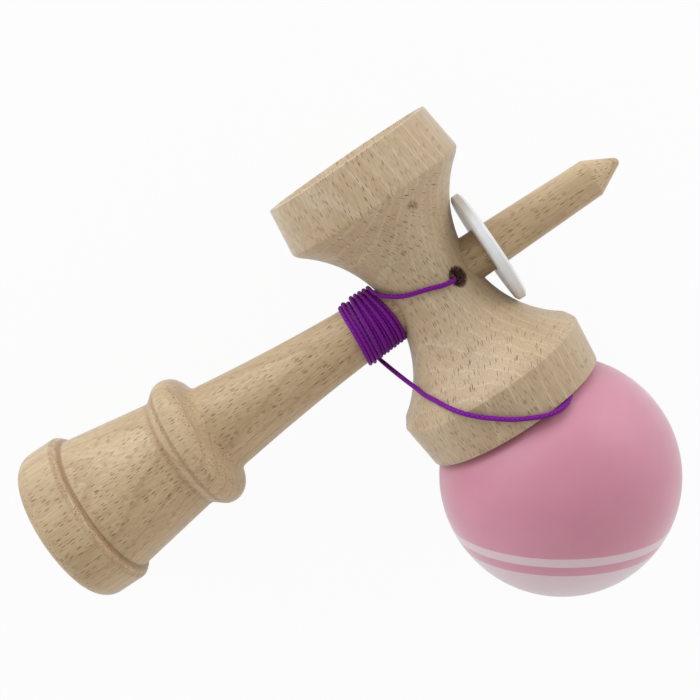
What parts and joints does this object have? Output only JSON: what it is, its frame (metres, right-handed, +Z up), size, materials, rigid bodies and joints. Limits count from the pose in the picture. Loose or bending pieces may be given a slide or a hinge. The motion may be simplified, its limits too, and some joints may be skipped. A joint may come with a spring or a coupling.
{
  "type": "kendama",
  "caption": "Wooden cup-and-ball toy: turned ken with a spike and a cross-piece of cups, striped ball on a wound string, and a plastic ring on the spike.",
  "frame": {"origin": "On the table, under the middle of the toy's box, with the toy lying as it is put down: ball, small cup and foot touch the table.", "axes": "+X along the ken towards the spike (level with the table), +Z up; the ball lies towards -Y and the small cup towards +Y."},
  "size_m": [0.1662, 0.1266, 0.06],
  "materials": {
    "ken_beech": "bare fine-sanded beech, grain along the ken",
    "sarado_beech": "bare fine-sanded beech, grain along the cups",
    "ball_paint": "matte pink paint with white stripes over wood",
    "ring_plastic": "moulded white plastic",
    "string_braid": "purple braided cord",
    "bead_wood": "bare wood"
  },
  "bodies": {
    "handle": {"ken": "ken_beech", "sarado": "sarado_beech", "ken_knot": "string_braid", "string_anchor_run": "string_braid", "string_winding": "string_braid", "string_tama_run": "string_braid"},
    "swivel": {"string_end": "string_braid", "bead": "bead_wood", "tama_knot": "string_braid"},
    "ball": {"tama": "ball_paint"},
    "ring": {"retaining_ring": "ring_plastic"}
  },
  "joints": [
    {"name": "tama_lift", "type": "slide", "parent": "handle", "child": "swivel", "axis": [-0.0041, -0.9964, 0.0841], "range_m": [0, 0.01], "deforming": ["string_tama_run"]},
    {"name": "tama_spin", "type": "hinge", "parent": "swivel", "child": "ball", "pos_m": [0.02876, -0.0333, 0.03], "axis": [-0.5288, -0.8486, -0.0155], "continuous": true},
    {"name": "ring_slide", "type": "slide", "parent": "handle", "child": "ring", "axis": [0.9988, 0, 0.049], "range_m": [0, 0.042]}
  ]
}
